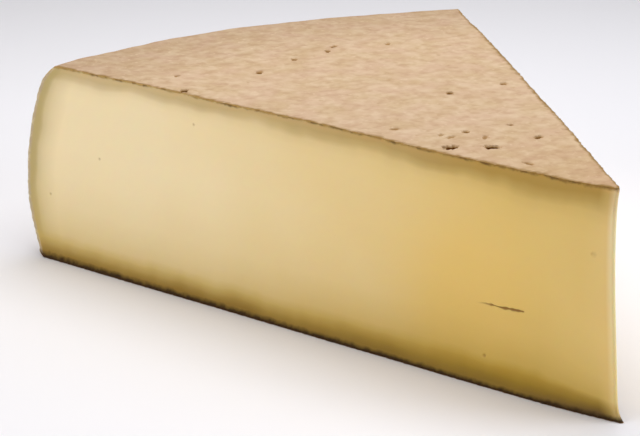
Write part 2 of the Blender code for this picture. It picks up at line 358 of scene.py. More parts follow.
# The skin of the wedge: a grid up the heel and one up the nose, then sheets of near-equal triangles sewn
# between them for the two cuts, the top and the underside, with finer triangles round pits and holes.
FOOT_STEPS = 6
BELLY_STEPS = 58
SHOULDER_STEPS = 12
HEEL_STEPS = 190
NOSE_STEPS = 8
EDGE_STEPS = 330
TOP_SPACING = 1.05
CUT_SPACING = 1.8
UNDERSIDE_SPACING = 5.0
FINE_SPACING = 0.45
PIT_PATCH = 1.3  # how far the finer triangles reach, in half lengths of the pit
PINHOLE_PATCH = 1.2  # the same, in widths of the hole
CRACK_PATCHES = ((2.0, 3.0, 0.48), (1.5, 1.8, 0.24))  # how far past its ends, half height and spacing
EDGE_GAP = 0.6  # of the spacing, left free along a sheet's outline
WELD = 1e-5
SHARPEST_BEND = 55  # beyond this the shading breaks at an edge
PASTE, RIND = 0, 1

places, faces, finishes = [], [], []
marks = {"edge_distance": [], "heel_distance": [], "nose_distance": [], "stain_and_shade": []}


def vertex(place, edge_distance, heel_distance=0.0, nose_distance=0.0, stain_and_shade=0.0):
    """Adds a vertex. It is marked with its distances, in the skin, from the edge where rind and paste meet,
    from the heel and from the nose, and with how dark a pit or a crack makes it."""
    places.append(place * MM)
    for mark, value in zip(marks.values(), (edge_distance, heel_distance, nose_distance, stain_and_shade)):
        mark.append(value)
    return len(places) - 1


def cut_vertex(side, distance, height):
    nose_distance = distance - NOSE_TANGENT
    distance = slid(side, distance, height)
    return vertex(
        cut_place(side, distance, height),
        rind_depth(distance, height),
        heel_radius(height) - distance,
        nose_distance,
        hole_at(side, distance, height)[1],
    )


def from_cuts(plan):
    """How far a point of the plan is from the left cut and from the right one."""
    away = plan - APEX
    bend = NOSE_BEND * max(0.0, 1 - away.y / NOSE_BEND_REACH) ** 2
    from_left = away.y * math.sin(HALF_ANGLE) + away.x * math.cos(HALF_ANGLE) - bend
    from_right = away.y * math.sin(HALF_ANGLE) - away.x * math.cos(HALF_ANGLE)
    return from_left, from_right


def broken_edge(plan):
    """How far a point of the rind is from an edge that broke."""
    from_left, from_right = from_cuts(plan)
    return min(from_left, from_right + CLEAN_EDGE)


def top_vertex(plan):
    pit_depth, stain_and_shade = pit_at(plan)
    height = top_height((plan - APEX).length) + relief(*plan, WHEEL_HEIGHT) - pit_depth
    return vertex(Vector((*plan, height)), broken_edge(plan), stain_and_shade=stain_and_shade)


def underside_vertex(plan):
    return vertex(plan.to_3d(), broken_edge(plan))


def sew_grid(columns, finish):
    """Four-sided faces between columns of vertices that run up the heel or the nose."""
    for right, left in zip(columns, columns[1:]):
        for i in range(len(right) - 1):
            faces.append((right[i], left[i], left[i + 1], right[i + 1]))
            finishes.append(finish)


def lattice(low, high, spacing):
    """Points of a triangular lattice that fills a rectangle."""
    row_height = spacing * math.sqrt(3) / 2
    for row in range(int((high.y - low.y) / row_height) + 1):
        shift = spacing / 2 * (row % 2)
        for column in range(int((high.x - low.x - shift) / spacing) + 1):
            yield Vector((low.x + shift + column * spacing, low.y + row * row_height))


def graded_lattice(low, high, spacing, belongs, patches):
    """A lattice that is finer in each patch, an ellipse (middle, half width, half height, spacing)."""

    def in_patch(point, patch):
        middle, half_width, half_height, _ = patch
        away = point - middle
        return math.hypot(away.x / half_width, away.y / half_height) < 1

    points = [p for p in lattice(low, high, spacing) if belongs(p, spacing)]
    for patch in patches:
        middle, half_width, half_height, fine = patch
        reach = Vector((half_width, half_height))
        points = [p for p in points if not in_patch(p, patch)]
        fresh = lattice(middle - reach, middle + reach, fine)
        points += [p for p in fresh if in_patch(p, patch) and belongs(p, fine)]
    return points


def sew_sheet(outline, flat_outline, flat_inside, make_vertex, finish, facing):
    """Triangles across a sheet whose outline is there already. facing is -1 to turn them over."""
    count = len(outline)
    edges = [(i, (i + 1) % count) for i in range(count)]
    inner_only = 1
    flat, _, triangles, origins, _, _ = geometry.delaunay_2d_cdt(
        flat_outline + flat_inside, edges, [], inner_only, WELD
    )
    names = []
    for point, origin in zip(flat, origins):
        first = min(origin)
        names.append(outline[first] if first < count else make_vertex(point))
    for triangle in triangles:
        faces.append(tuple(names[i] for i in triangle[::facing]))
        finishes.append(finish)


foot = [FOOT_ROUNDING * (1 - math.cos(math.pi / 2 * i / FOOT_STEPS)) for i in range(FOOT_STEPS)]
belly_step = (SHOULDER_HEIGHT - FOOT_ROUNDING) / BELLY_STEPS
belly = [FOOT_ROUNDING + belly_step * i for i in range(BELLY_STEPS)]
turns = [math.pi / 2 * i / SHOULDER_STEPS for i in range(SHOULDER_STEPS + 1)]
levels = foot + belly + [SHOULDER_HEIGHT + SHOULDER_DROP * math.sin(turn) for turn in turns]

heel, nose = [], []
spans = [heel_radius(h) - NOSE_TANGENT for h in levels]  # from the nose to the heel
for i in range(HEEL_STEPS + 1):
    from_cut = BELLY_RADIUS * math.sin(2 * HALF_ANGLE * min(i, HEEL_STEPS - i) / HEEL_STEPS)
    heel.append(
        [vertex(heel_place(i / HEEL_STEPS, h), from_cut, 0.0, span) for h, span in zip(levels, spans)]
    )
for i in range(NOSE_STEPS + 1):
    nose.append(
        [
            vertex(nose_place(i / NOSE_STEPS, h), rind_depth(NOSE_TANGENT, h), span)
            for h, span in zip(levels, spans)
        ]
    )
sew_grid(heel, RIND)
sew_grid(nose, PASTE)

bottom_edges, top_edges = {}, {}
for side, heel_column, nose_column in ((LEFT, heel[-1], nose[0]), (RIGHT, heel[0], nose[-1])):
    rows = []
    for height, level in ((0.0, 0), (EDGE_HEIGHT, -1)):
        end = heel_radius(height)
        row = [NOSE_TANGENT + (end - NOSE_TANGENT) * i / EDGE_STEPS for i in range(1, EDGE_STEPS)]
        between = [cut_vertex(side, distance, height) for distance in row]
        names = [nose_column[level], *between, heel_column[level]]
        rows.append((names, [Vector((d, height)) for d in (NOSE_TANGENT, *row, end)]))
    (bottom, flat_bottom), (top, flat_top) = rows
    bottom_edges[side], top_edges[side] = bottom, top
    outline = bottom + heel_column[1:-1] + top[::-1] + nose_column[-2:0:-1]
    flat_heel = [Vector((heel_radius(h), h)) for h in levels[1:-1]]
    flat_nose = [Vector((NOSE_TANGENT, h)) for h in levels[-2:0:-1]]
    flat_outline = flat_bottom + flat_heel + flat_top[::-1] + flat_nose

    def inside_cut(point, spacing):
        gap = spacing * EDGE_GAP
        tall_enough = gap < point.y < EDGE_HEIGHT - gap
        return tall_enough and NOSE_TANGENT + gap < point.x < heel_radius(point.y) - gap

    patches = [
        (Vector((distance, height)), width * PINHOLE_PATCH, width * PINHOLE_PATCH, FINE_SPACING)
        for hole_side, distance, height, width in PINHOLES
        if hole_side == side
    ]
    if side == LEFT:
        far, near = (Vector(end) for end in CRACK_ENDS)
        for past_end, half_height, fine in CRACK_PATCHES:
            patches.append(((far + near) / 2, (far.x - near.x) / 2 + past_end, half_height, fine))
    low, high = Vector((NOSE_TANGENT, 0)), Vector((BELLY_RADIUS, EDGE_HEIGHT))
    inside = graded_lattice(low, high, CUT_SPACING, inside_cut, patches)
    sew_sheet(outline, flat_outline, inside, lambda p: cut_vertex(side, *p), PASTE, side)

for level, edges, finish_vertex, spacing, facing in (
    (0, bottom_edges, underside_vertex, UNDERSIDE_SPACING, -1),
    (-1, top_edges, top_vertex, TOP_SPACING, 1),
):
    outline = edges[RIGHT] + [column[level] for column in heel[1:-1]] + edges[LEFT][::-1]
    outline += [column[level] for column in nose[1:-1]]
    flat_outline = [places[i].xy / MM for i in outline]
    flat_radius = heel_radius(levels[level])
    nose_end = max(places[column[level]].y for column in nose) / MM

    def inside_round(point, spacing):
        gap = spacing * EDGE_GAP
        from_nose = point.y - nose_end
        return min(*from_cuts(point), from_nose, flat_radius - (point - APEX).length) > gap

    patches = [(pit[0], pit[1] * PIT_PATCH, pit[1] * PIT_PATCH, FINE_SPACING) for pit in pits[: len(PITS)]]
    wide = FLAT_RADIUS * math.tan(HALF_ANGLE)
    low, high = APEX - Vector((wide, 0)), APEX + Vector((wide, BELLY_RADIUS))
    inside = graded_lattice(low, high, spacing, inside_round, patches if facing == 1 else [])
    sew_sheet(outline, flat_outline, inside, finish_vertex, RIND, facing)

comte_mesh = bpy.data.meshes.new("comte")
comte_mesh.from_pydata(places, [], faces)
comte_mesh.polygons.foreach_set("material_index", finishes)
for name, values in marks.items():
    comte_mesh.attributes.new(name, "FLOAT", "POINT").data.foreach_set("value", values)
comte_mesh.shade_smooth()
comte_mesh.set_sharp_from_angle(angle=math.radians(SHARPEST_BEND))
comte = bpy.data.objects.new("comte", comte_mesh)
bpy.context.scene.collection.objects.link(comte)


def linear(hex_colour):
    """An sRGB hex colour as linear red, green, blue and alpha."""
    channels = [int(hex_colour[i : i + 2], 16) / 255 for i in (1, 3, 5)]
    return (*[c / 12.92 if c <= 0.04045 else ((c + 0.055) / 1.055) ** 2.4 for c in channels], 1.0)


def add(material, kind, inputs=None, stops=None, **settings):
    """Adds a node. An input is a value or another node's socket, and stops are a colour ramp's.

    Inputs 1 to 4 of a MapRange are from-low, from-high, to-low and to-high. Inputs 0, 6 and 7 of a colour
    Mix are the share and the two colours.
    """
    made = material.node_tree.nodes.new("ShaderNode" + kind)
    for name, value in settings.items():
        setattr(made, name, value)
    for name, value in (inputs or {}).items():
        if isinstance(value, bpy.types.NodeSocket):
            material.node_tree.links.new(value, made.inputs[name])
        else:
            made.inputs[name].default_value = value
    if stops:
        ramp = made.color_ramp.elements
        while len(ramp) < len(stops):
            ramp.new(0.5)
        for element, (place, colour) in zip(ramp, stops):
            element.position, element.color = place, colour
    return made


def grey(value):
    return (value, value, value, 1.0)


def per_metre(millimetres):
    """The scale of a pattern whose features are this wide."""
    return 1000 / millimetres


# The paste: pressed curd, fatty and close, ivory in the body of the wheel and straw towards its middle, the
# straw partly painted shade and warm reflected light. Air has dried it to olive just under the rind, and
# along the foot, where painted shade and warm reflected light darken it too. A painted highlight makes a
# pale strip down the thin nose. The rind's own section is a broken brown line, partly painted shadow. A
# little light sinks into the fat, and the knife left the cut smooth with a soft greasy sheen.
paste = bpy.data.materials.new("knife_cut_paste")
paste.use_nodes = True
where = add(paste, "TexCoord").outputs["Object"]
edge = add(paste, "Attribute", attribute_name="edge_distance").outputs["Fac"]
from_heel = add(paste, "Attribute", attribute_name="heel_distance").outputs["Fac"]
from_nose = add(paste, "Attribute", attribute_name="nose_distance").outputs["Fac"]
stain_and_shade = add(paste, "Attribute", attribute_name="stain_and_shade").outputs["Fac"]
place = add(paste, "VectorMath", {0: where, 1: (1 / MM, 1 / MM, 1 / MM)}, operation="MULTIPLY").outputs[0]
spot = add(paste, "SeparateXYZ", {0: place})  # in millimetres

# The body of the curd: straw at the wheel's middle and ivory near the heel, the straw partly the curd's own
# colour and partly painted shade and warm reflected light. Clouds 45 mm wide, about half as wide as the
# wheel is thick, keep the change from one to the other from being even.
STRAW = "#E5C473"
IVORY = "#F0DCAF"
STRAW_SPAN = (-125, 65)  # along Y
CLOUD_WIDTH = 45
CLOUD_DRIFT = 60.0  # how far the clouds move that change along Y
patch = add(paste, "TexNoise", {"Vector": where, "Scale": per_metre(CLOUD_WIDTH), "Detail": 1.0})
shifted = add(
    paste, "Math", {0: patch.outputs[0], 1: CLOUD_DRIFT, 2: spot.outputs["Y"]}, operation="MULTIPLY_ADD"
)
starts, ends = (y + CLOUD_DRIFT / 2 for y in STRAW_SPAN)
along = add(paste, "MapRange", {0: shifted.outputs[0], 1: starts, 2: ends}).outputs[0]
body = add(paste, "Mix", {0: along, 6: linear(STRAW), 7: linear(IVORY)}, data_type="RGBA")

# Painted warm reflected light and shade on the left cut, golden.
REFLECTED_GOLD = "#EBC466"
GOLD_PLACE = (76, 42)  # distance from the apex, and height
GOLD_SPAN = (5, 58)  # full within the first of these distances from its place, and gone at the second
GOLD_STRENGTH = 0.65
gold_plan = APEX + towards(-HALF_ANGLE) * GOLD_PLACE[0]
gold_place = (*gold_plan, GOLD_PLACE[1])
from_gold = add(paste, "VectorMath", {0: place, 1: gold_place}, operation="DISTANCE")
golden = add(
    paste,
    "MapRange",
    {0: from_gold.outputs["Value"], 1: GOLD_SPAN[0], 2: GOLD_SPAN[1], 3: GOLD_STRENGTH, 4: 0.0},
    interpolation_type="SMOOTHSTEP",
)
gilded = add(
    paste, "Mix", {0: golden.outputs[0], 6: body.outputs[2], 7: linear(REFLECTED_GOLD)}, data_type="RGBA"
)

# A painted highlight on the thin rounded nose, where it catches the light from the right and lets light
# through: a pale strip, paler towards the top.
NOSE_HIGHLIGHT = ("#EAD89C", "#EEE2B8")
NOSE_HIGHLIGHT_HEIGHTS = (15, 90)
NOSE_REACH = 30.0
near_nose = add(paste, "Math", {0: from_nose, 1: NOSE_REACH}, operation="DIVIDE")
nose_highlight_share = add(
    paste,
    "ValToRGB",
    {0: near_nose.outputs[0]},
    stops=[(0.0, grey(0.75)), (0.04, grey(0.45)), (0.08, grey(0.12)), (0.5, grey(0))],
)
up_nose = add(
    paste, "MapRange", {0: spot.outputs["Z"], 1: NOSE_HIGHLIGHT_HEIGHTS[0], 2: NOSE_HIGHLIGHT_HEIGHTS[1]}
)
nose_highlight = add(
    paste,
    "Mix",
    {0: up_nose.outputs[0], 6: linear(NOSE_HIGHLIGHT[0]), 7: linear(NOSE_HIGHLIGHT[1])},
    data_type="RGBA",
)
nosed = add(
    paste,
    "Mix",
    {0: nose_highlight_share.outputs[0], 6: gilded.outputs[2], 7: nose_highlight.outputs[2]},
    data_type="RGBA",
)

# The dried band under the top's rind. It wanders in and out as the curd does, is wider in the straw, and
# spares the nose.
DRY_STRAW = "#B3903C"
DRY_IVORY = "#C9B17F"
DRY_BAND = 14.0
DRIFT_WIDTH = 26
DRIFT = 1.2  # how far the dried bands wander in and out
NOISE_SPAN = (0.3, 0.7)  # nearly all of a noise lies between these
STRAW_WIDENING = 0.62  # in the straw a distance from the edge counts this much
SPARED_NOSE = 7.0
SPARED_SHARE = 0.4
drift = add(paste, "TexNoise", {"Vector": where, "Scale": per_metre(DRIFT_WIDTH), "Detail": 2.0})
drifted = add(
    paste, "MapRange", {0: drift.outputs[0], 1: NOISE_SPAN[0], 2: NOISE_SPAN[1], 3: -DRIFT, 4: DRIFT}
).outputs[0]
narrowed = add(paste, "MapRange", {0: along, 3: STRAW_WIDENING, 4: 1.0})
dry_depth = add(
    paste, "Math", {0: edge, 1: narrowed.outputs[0], 2: drifted}, operation="MULTIPLY_ADD"
)
dry_share = add(paste, "Math", {0: dry_depth.outputs[0], 1: DRY_BAND}, operation="DIVIDE")
dryness = add(
    paste,
    "ValToRGB",
    {0: dry_share.outputs[0]},
    stops=[(0.2, grey(1.0)), (0.36, grey(0.72)), (0.5, grey(0.26)), (0.7, grey(0.07)), (1.0, grey(0))],
)
spared = add(paste, "MapRange", {0: from_nose, 1: 0.0, 2: SPARED_NOSE, 3: SPARED_SHARE, 4: 1.0})
top_drying = add(
    paste, "Math", {0: dryness.outputs[0], 1: spared.outputs[0]}, operation="MULTIPLY"
)
dry = add(paste, "Mix", {0: along, 6: linear(DRY_STRAW), 7: linear(DRY_IVORY)}, data_type="RGBA")
dried = add(
    paste,
    "Mix",
    {0: top_drying.outputs[0], 6: nosed.outputs[2], 7: dry.outputs[2]},
    data_type="RGBA",
)

# The dried band along the heel, olive.
HEEL_OLIVE = "#B6A268"
HEEL_BAND = 20.0
heel_depth = add(paste, "Math", {0: from_heel, 1: drifted}, operation="ADD")
heel_share = add(paste, "Math", {0: heel_depth.outputs[0], 1: HEEL_BAND}, operation="DIVIDE")
heel_dryness = add(
    paste,
    "ValToRGB",
    {0: heel_share.outputs[0]},
    stops=[(0.18, grey(1.0)), (0.26, grey(0.85)), (0.36, grey(0.5)), (0.55, grey(0.3)), (1.0, grey(0))],
)
heeled = add(
    paste,
    "Mix",
    {0: heel_dryness.outputs[0], 6: dried.outputs[2], 7: linear(HEEL_OLIVE)},
    data_type="RGBA",
)

# The foot yellows over its lowest 60 mm, and the lowest centimetre is brown, darkest near the nose. Both
# bands are partly dried paste and partly painted shade and warm reflected light near the floor. Both bands
# are lower at the nose.
FOOT_GOLD = ("#B28E14", "#C4A657")  # near the nose and near the heel
FOOT_BAND = 60.0
FOOT_NARROWING = 1.8  # at the nose a height counts this much
FOOT_NARROWING_REACH = 35.0
DRY_SHADED_FOOT = ("#8A6A00", "#8C6A0C")  # near the nose and near the heel
DRY_SHADED_FOOT_NARROWING = 1.3
DRY_SHADED_NOSE_FOOT = "#6C4E00"
DRY_SHADED_NOSE_SPAN = (14, 46)  # from the nose
narrowing = add(
    paste, "MapRange", {0: from_nose, 1: 0.0, 2: FOOT_NARROWING_REACH, 3: FOOT_NARROWING, 4: 1.0}
)
foot_height = add(
    paste,
    "Math",
    {0: spot.outputs["Z"], 1: narrowing.outputs[0], 2: drifted},
    operation="MULTIPLY_ADD",
)
foot_share = add(paste, "Math", {0: foot_height.outputs[0], 1: FOOT_BAND}, operation="DIVIDE")
foot_yellowing_and_shade = add(
    paste,
    "ValToRGB",
    {0: foot_share.outputs[0]},
    stops=[
        (0.1, grey(1.0)),
        (0.17, grey(0.87)),
        (0.24, grey(0.54)),
        (0.34, grey(0.38)),
        (0.5, grey(0.2)),
        (0.75, grey(0.07)),
        (1.0, grey(0)),
    ],
)
yellowing_and_shade = add(
    paste, "Math", {0: foot_yellowing_and_shade.outputs[0], 1: spared.outputs[0]}, operation="MULTIPLY"
)
foot_gold = add(
    paste, "Mix", {0: along, 6: linear(FOOT_GOLD[0]), 7: linear(FOOT_GOLD[1])}, data_type="RGBA"
)
yellowed = add(
    paste,
    "Mix",
    {0: yellowing_and_shade.outputs[0], 6: heeled.outputs[2], 7: foot_gold.outputs[2]},
    data_type="RGBA",
)
lowering = add(
    paste, "MapRange", {0: from_nose, 1: 0.0, 2: FOOT_NARROWING_REACH, 3: DRY_SHADED_FOOT_NARROWING, 4: 1.0}
)
dry_shaded_height = add(
    paste,
    "Math",
    {0: spot.outputs["Z"], 1: lowering.outputs[0], 2: drifted},
    operation="MULTIPLY_ADD",
)
dry_shaded_foot_share = add(paste, "Math", {0: dry_shaded_height.outputs[0], 1: FOOT_BAND}, operation="DIVIDE")
foot_dryness_and_shade = add(
    paste,
    "ValToRGB",
    {0: dry_shaded_foot_share.outputs[0]},
    stops=[(0.05, grey(0.97)), (0.085, grey(0.7)), (0.12, grey(0.36)), (0.18, grey(0))],
)
foot_drying_and_shade = add(paste, "Math", {0: foot_dryness_and_shade.outputs[0], 1: spared.outputs[0]}, operation="MULTIPLY")
foot = add(
    paste, "Mix", {0: along, 6: linear(DRY_SHADED_FOOT[0]), 7: linear(DRY_SHADED_FOOT[1])}, data_type="RGBA"
)
at_nose = add(
    paste, "MapRange", {0: from_nose, 1: DRY_SHADED_NOSE_SPAN[0], 2: DRY_SHADED_NOSE_SPAN[1], 3: 1.0, 4: 0.0}
)
nose_foot = add(
    paste,
    "Mix",
    {0: at_nose.outputs[0], 6: foot.outputs[2], 7: linear(DRY_SHADED_NOSE_FOOT)},
    data_type="RGBA",
)
footed = add(
    paste,
    "Mix",
    {0: foot_drying_and_shade.outputs[0], 6: yellowed.outputs[2], 7: nose_foot.outputs[2]},
    data_type="RGBA",
)

# The rind in section, a line along the cut's edges with ragged sides: along the top partly painted shadow
# under the rind's lip, and along the foot partly a painted contact shadow. Its crumbs are 1 mm wide or less,
# too fine to show, and so are drawn 3.5 mm wide, with dark flecks of the outermost skin 5 mm apart.
CRUMB_WIDTH = 3.5
RAG = 0.4  # how far the line's sides wander in and out
HEEL_LINE = ("#B0A086", "#C4B69A")  # taupe, and its paler grains
HEEL_LINE_SPAN = (1.0, 2.4)
# The top line: partly the rind in section and partly painted shadow under the rind's lip.
RIND_AND_SHADOW_LINE = ("#836531", "#A0854F")  # near the nose and near the heel
RIND_AND_SHADOW_LINE_SPAN = (0.3, 1.15)
TOP_LINE_HEIGHTS = (90, 95)  # the line is drawn above these only
THICK_NOSE_LINE = 0.6  # at the nose a distance from the edge counts this much
THICK_NOSE_REACH = 60.0
RIND_FLECK = "#5A4120"
FLECK_SPACING = 5
# The foot line: partly the underside's brown rind and partly a painted contact shadow at the floor.
FOOT_SHADOW_LINE = "#301C00"
FOOT_LINE_SPAN = (0.8, 2.5)
FOOT_LINE_RISE = 0.66  # at the heel a height counts this much, which makes the line thicker there
FOOT_LINE_RISE_SPAN = (60.0, 320.0)  # from the nose
ragged = add(paste, "TexNoise", {"Vector": where, "Scale": per_metre(CRUMB_WIDTH), "Detail": 3.0})
rags = add(
    paste, "MapRange", {0: ragged.outputs[0], 1: NOISE_SPAN[0], 2: NOISE_SPAN[1], 3: -RAG, 4: RAG}
).outputs[0]
heel_line_depth = add(paste, "Math", {0: from_heel, 1: rags}, operation="ADD")
heel_line = add(
    paste,
    "MapRange",
    {0: heel_line_depth.outputs[0], 1: HEEL_LINE_SPAN[0], 2: HEEL_LINE_SPAN[1], 3: 0.9, 4: 0.0},
)
taupe = add(
    paste,
    "ValToRGB",
    {0: ragged.outputs[0]},
    stops=[(0.5, linear(HEEL_LINE[0])), (0.6, linear(HEEL_LINE[1]))],
)
heel_lined = add(
    paste, "Mix", {0: heel_line.outputs[0], 6: footed.outputs[2], 7: taupe.outputs[0]}, data_type="RGBA"
)
thinned = add(paste, "MapRange", {0: from_nose, 1: 0.0, 2: THICK_NOSE_REACH, 3: THICK_NOSE_LINE, 4: 1.0})
line_depth = add(paste, "Math", {0: edge, 1: thinned.outputs[0], 2: rags}, operation="MULTIPLY_ADD")
line = add(
    paste,
    "MapRange",
    {0: line_depth.outputs[0], 1: RIND_AND_SHADOW_LINE_SPAN[0], 2: RIND_AND_SHADOW_LINE_SPAN[1], 3: 0.95, 4: 0.0},
)
near_top = add(
    paste, "MapRange", {0: spot.outputs["Z"], 1: TOP_LINE_HEIGHTS[0], 2: TOP_LINE_HEIGHTS[1]}
)
top_line = add(paste, "Math", {0: line.outputs[0], 1: near_top.outputs[0]}, operation="MULTIPLY")
rind_and_shadow = add(
    paste, "Mix", {0: along, 6: linear(RIND_AND_SHADOW_LINE[0]), 7: linear(RIND_AND_SHADOW_LINE[1])}, data_type="RGBA"
)
fleck = add(paste, "TexNoise", {"Vector": where, "Scale": per_metre(FLECK_SPACING), "Detail": 1.5})
flecks = add(paste, "MapRange", {0: fleck.outputs[0], 1: 0.48, 2: 0.6, 3: 0.0, 4: 0.8})
flecked_rind = add(
    paste,
    "Mix",
    {0: flecks.outputs[0], 6: rind_and_shadow.outputs[2], 7: linear(RIND_FLECK)},
    data_type="RGBA",
)
lined = add(
    paste,
    "Mix",
    {0: top_line.outputs[0], 6: heel_lined.outputs[2], 7: flecked_rind.outputs[2]},
    data_type="RGBA",
)
line_rise = add(
    paste,
    "MapRange",
    {0: from_nose, 1: FOOT_LINE_RISE_SPAN[0], 2: FOOT_LINE_RISE_SPAN[1], 3: 1.0, 4: FOOT_LINE_RISE},
)
foot_line_height = add(
    paste, "Math", {0: spot.outputs["Z"], 1: line_rise.outputs[0], 2: rags}, operation="MULTIPLY_ADD"
)
foot_line = add(
    paste,
    "MapRange",
    {0: foot_line_height.outputs[0], 1: FOOT_LINE_SPAN[0], 2: FOOT_LINE_SPAN[1], 3: 0.97, 4: 0.0},
)
foot_lined = add(
    paste, "Mix", {0: foot_line.outputs[0], 6: lined.outputs[2], 7: linear(FOOT_SHADOW_LINE)}, data_type="RGBA"
)

# The crack and the pinholes, brown inside: partly their stain and partly painted shade, as the crack is cut
# only 0.45 mm deep.
CRACK_BROWN = "#92661A"
holed = add(paste, "Mix", {0: stain_and_shade, 6: foot_lined.outputs[2], 7: linear(CRACK_BROWN)}, data_type="RGBA")

# The surface: greasy where it is paste, and crumbly where it is broken rind. The grains of the curd are
# 0.9 mm wide and so low that they only break up the sheen.
GREASY, CRUMBLY = 0.48, 0.95  # roughness
CURD_GRAIN_WIDTH = 0.9
CURD_GRAIN_HEIGHT = 0.2
both_lines = add(paste, "Math", {0: top_line.outputs[0], 1: foot_line.outputs[0]}, operation="MAXIMUM")
roughened = add(paste, "MapRange", {0: both_lines.outputs[0], 3: GREASY, 4: CRUMBLY})
curd = add(paste, "TexNoise", {"Vector": where, "Scale": per_metre(CURD_GRAIN_WIDTH), "Detail": 2.0})
bump = add(
    paste, "Bump", {"Strength": 0.2, "Distance": CURD_GRAIN_HEIGHT * MM, "Height": curd.outputs[0]}
)
shader = paste.node_tree.nodes["Principled BSDF"]
shader.inputs["IOR"].default_value = 1.46  # milk fat
shader.inputs["Specular IOR Level"].default_value = 0.4
shader.inputs["Subsurface Weight"].default_value = 0.4
shader.inputs["Subsurface Radius"].default_value = (1.0, 0.6, 0.2)
shader.inputs["Subsurface Scale"].default_value = 0.006
paste.node_tree.links.new(holed.outputs[2], shader.inputs["Base Color"])
paste.node_tree.links.new(roughened.outputs[0], shader.inputs["Roughness"])
paste.node_tree.links.new(bump.outputs[0], shader.inputs["Normal"])

# The rind: a dry matte skin of salt, smear and mites, rubbed with a brine-wet cloth and turned on its board
# for months. It is beige with rosy and straw patches and sandy to the touch, greyer where it rolls over the
# rim, and brown where it broke along the cuts. Painted shade lies in its sandy hollows and its pits, and
# painted highlights on its crumbs.
rind = bpy.data.materials.new("brine_rubbed_rind")
rind.use_nodes = True
where = add(rind, "TexCoord").outputs["Object"]
edge = add(rind, "Attribute", attribute_name="edge_distance").outputs["Fac"]
stain_and_shade = add(rind, "Attribute", attribute_name="stain_and_shade").outputs["Fac"]

# Patches of smear, 20 mm wide, with a dust of dried smear in clumps of 7 mm over them. The sand on top has
# grains of 1 mm or less, too fine to show, and so is drawn with grains of 4.5 mm.
ROSE = "#C4A68A"
STRAW_SMEAR = "#C0A482"
DUST = "#D0B89A"
SAND_HOLLOW_SHADE = ("#F4F0EC", "#FFFFFF")  # painted shade in the sand's hollows, where its bump is low, and none on its grains
SMEAR_WIDTH = 20
DUST_WIDTH = 7
SAND_WIDTH = 4.5
patch = add(rind, "TexNoise", {"Vector": where, "Scale": per_metre(SMEAR_WIDTH), "Detail": 2.5})
patches = add(
    rind,
    "ValToRGB",
    {0: patch.outputs[0]},
    stops=[(0.38, linear(ROSE)), (0.62, linear(STRAW_SMEAR))],
)
dust = add(rind, "TexNoise", {"Vector": where, "Scale": per_metre(DUST_WIDTH), "Detail": 2.0})
dusty = add(rind, "MapRange", {0: dust.outputs[0], 1: 0.43, 2: 0.69, 3: 0.0, 4: 0.65})
dusted = add(
    rind, "Mix", {0: dusty.outputs[0], 6: patches.outputs[0], 7: linear(DUST)}, data_type="RGBA"
)
sand = add(rind, "TexNoise", {"Vector": where, "Scale": per_metre(SAND_WIDTH), "Detail": 1.0})
sands = add(
    rind,
    "ValToRGB",
    {0: sand.outputs[0]},
    stops=[(0.3, linear(SAND_HOLLOW_SHADE[0])), (0.55, linear(SAND_HOLLOW_SHADE[1]))],
)
sanded = add(
    rind,
    "Mix",
    {0: 1.0, 6: dusted.outputs[2], 7: sands.outputs[0]},
    data_type="RGBA",
    blend_type="MULTIPLY",
)

# Greyer towards the rim, where the rind rolls over, and yellower out on the thin nose.
RIM_TINT = "#E9E7E6"
RIM_SPAN = (255, 325)  # from the apex
NOSE_TINT = "#FAF5EA"
NOSE_SPAN = (110, 20)  # from the apex
flat_place = add(rind, "VectorMath", {0: where, 1: (1 / MM, 1 / MM, 0)}, operation="MULTIPLY")
from_apex = add(rind, "VectorMath", {0: flat_place.outputs[0], 1: (*APEX, 0)}, operation="DISTANCE")
rim = add(rind, "MapRange", {0: from_apex.outputs["Value"], 1: RIM_SPAN[0], 2: RIM_SPAN[1]})
rimmed = add(
    rind,
    "Mix",
    {0: rim.outputs[0], 6: sanded.outputs[2], 7: linear(RIM_TINT)},
    data_type="RGBA",
    blend_type="MULTIPLY",
)
thin = add(rind, "MapRange", {0: from_apex.outputs["Value"], 1: NOSE_SPAN[0], 2: NOSE_SPAN[1]})
nosed = add(
    rind,
    "Mix",
    {0: thin.outputs[0], 6: rimmed.outputs[2], 7: linear(NOSE_TINT)},
    data_type="RGBA",
    blend_type="MULTIPLY",
)

# The broken edge along the cuts, in the same crumbs as the line on the paste, then painted highlights where
# small crumbs stand up and catch the light. The crumbs are a millimetre wide at most, too fine to show, and
# are drawn
# 2.4 mm wide.
BROKEN_EDGE = "#8A6A36"
BROKEN_SPAN = (0.2, 2.4)
BROKEN_RAG = 0.8
CRUMB_HIGHLIGHT = "#DCC5A8"
CRUMB_HIGHLIGHT_WIDTH = 2.4
ragged = add(rind, "TexNoise", {"Vector": where, "Scale": per_metre(CRUMB_WIDTH), "Detail": 3.0})
rags = add(
    rind,
    "MapRange",
    {0: ragged.outputs[0], 1: NOISE_SPAN[0], 2: NOISE_SPAN[1], 3: -BROKEN_RAG, 4: BROKEN_RAG},
)
broken_depth = add(rind, "Math", {0: edge, 1: rags.outputs[0]}, operation="ADD")
broken = add(
    rind,
    "MapRange",
    {0: broken_depth.outputs[0], 1: BROKEN_SPAN[0], 2: BROKEN_SPAN[1], 3: 0.95, 4: 0.0},
)
edged = add(
    rind, "Mix", {0: broken.outputs[0], 6: nosed.outputs[2], 7: linear(BROKEN_EDGE)}, data_type="RGBA"
)
crumb_glint = add(rind, "TexNoise", {"Vector": where, "Scale": per_metre(CRUMB_HIGHLIGHT_WIDTH), "Detail": 1.0})
specks = add(rind, "MapRange", {0: crumb_glint.outputs[0], 1: 0.62, 2: 0.8, 3: 0.0, 4: 0.4})
